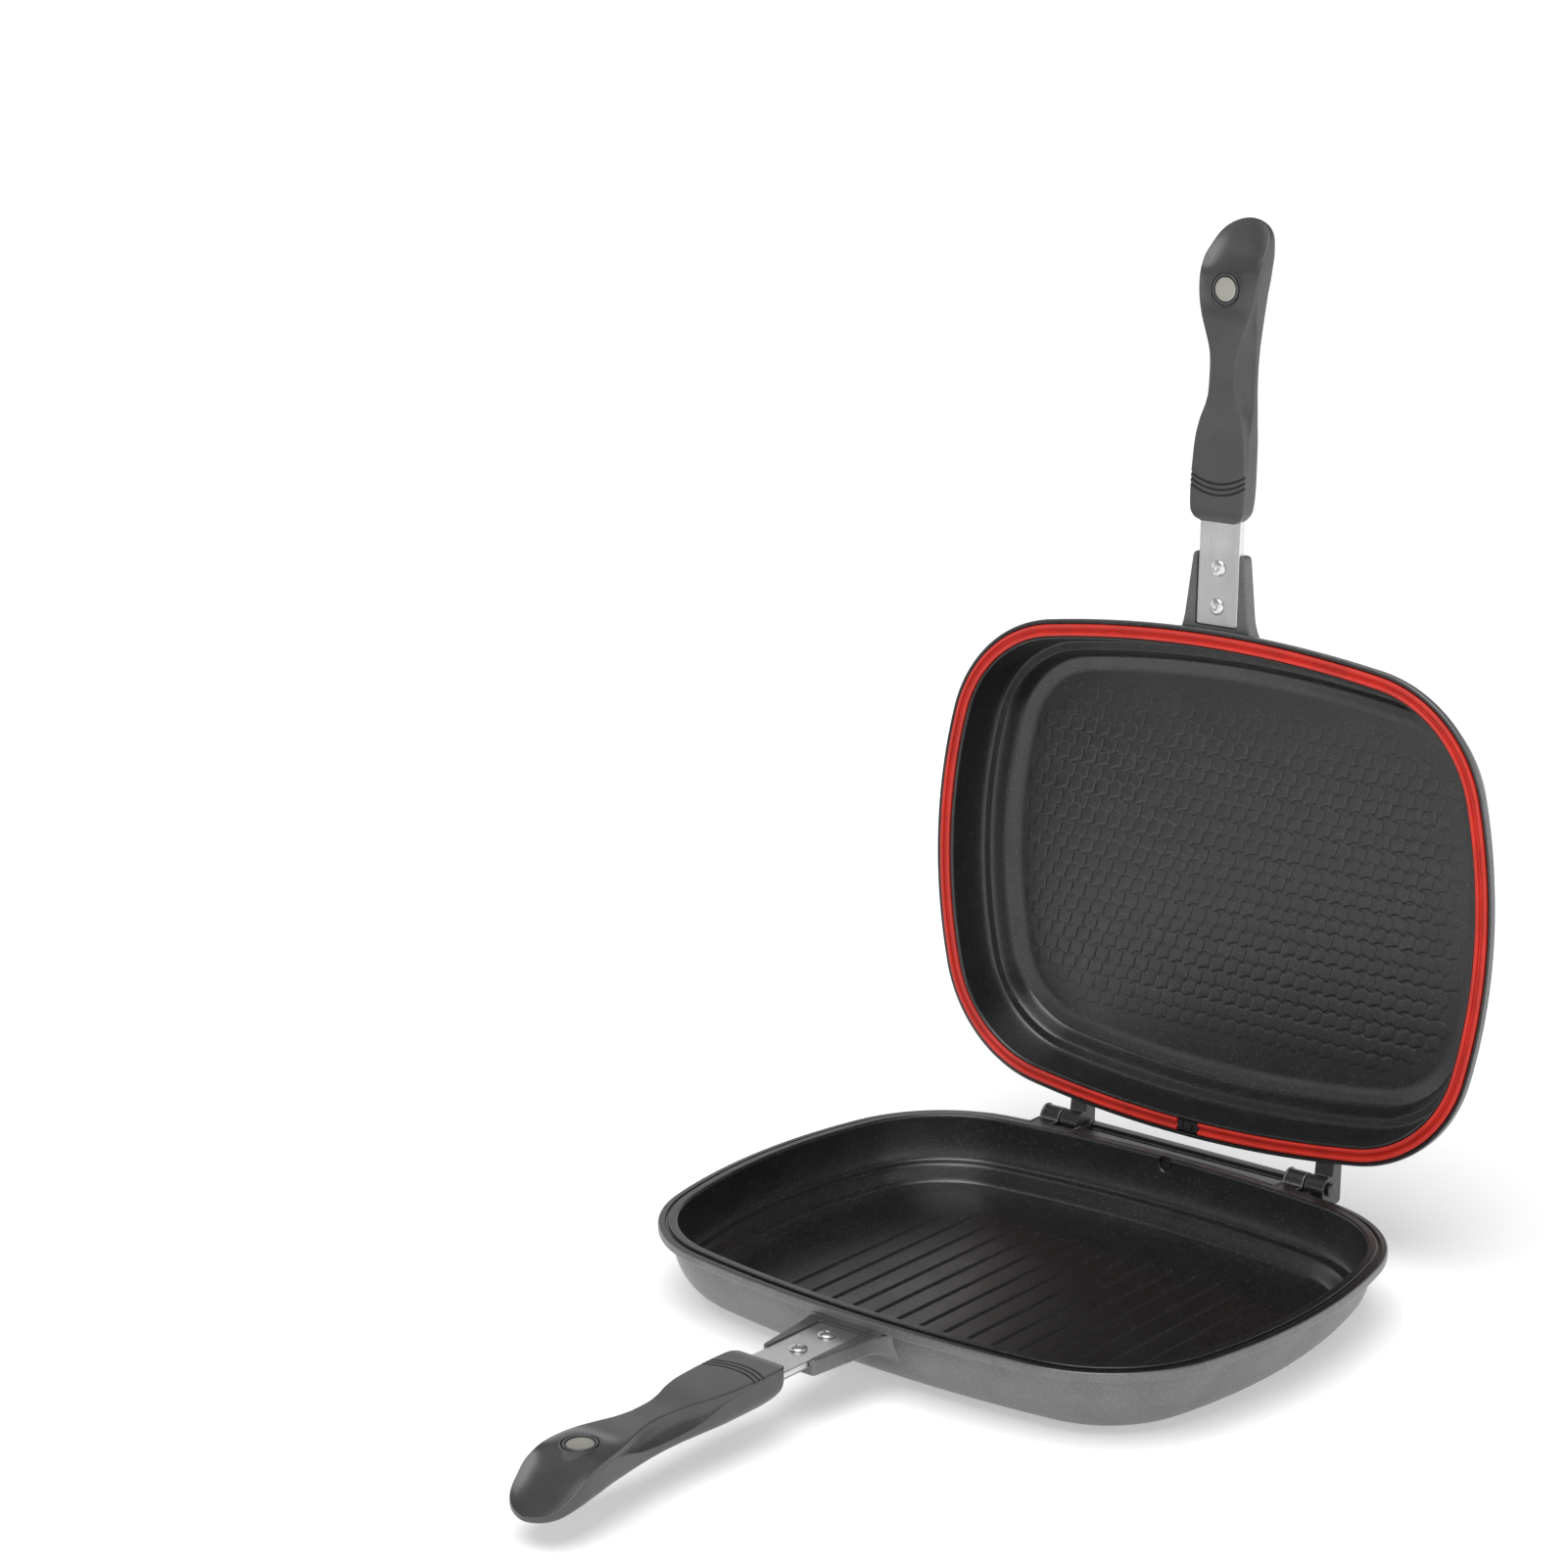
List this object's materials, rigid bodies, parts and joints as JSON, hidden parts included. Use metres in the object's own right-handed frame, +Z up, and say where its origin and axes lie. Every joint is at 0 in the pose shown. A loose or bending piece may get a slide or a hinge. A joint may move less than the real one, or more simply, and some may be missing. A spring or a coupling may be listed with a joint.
{
  "type": "double sided flip pan",
  "caption": "Double sided flip pan: two cast half pans on a rear hinge, with a silicone gasket in the lid and split grips that meet on magnets.",
  "frame": {"origin": "centre of the flat base disc that the lower half pan stands on", "axes": "+Z up, +X along the hinge, -Y towards the handles; rest pose is open on the hinge stop"},
  "size_m": [0.33, 0.5131, 0.5004],
  "materials": {
    "casting": "cast aluminium with metallic graphite paint outside and speckled black non-stick inside",
    "gasket": "red silicone, satin",
    "clip": "black, satin",
    "straps": "bright rolled steel",
    "rivets": "satin, dark painted head",
    "pins": "blackened steel",
    "grips": "moulded, satin black",
    "magnets": "nickel plated"
  },
  "bodies": {
    "lower_half": {"lower_pan": "casting", "lower_handle_strap": "straps", "lower_rivet_inner": "rivets", "lower_rivet_outer": "rivets", "lower_grip": "grips", "lower_magnet": "magnets", "hinge_pin_left": "pins", "hinge_pin_right": "pins"},
    "upper_half": {"upper_pan": "casting", "lid_gasket": "gasket", "gasket_clip": "clip", "upper_handle_strap": "straps", "upper_rivet_inner": "rivets", "upper_rivet_outer": "rivets", "upper_grip": "grips", "upper_magnet": "magnets"}
  },
  "joints": [
    {"name": "lid_hinge", "type": "hinge", "parent": "lower_half", "child": "upper_half", "pos_m": [0, 0.1358, 0.0374], "axis": [1, 0, 0], "range_deg": [0, 92.3]}
  ]
}
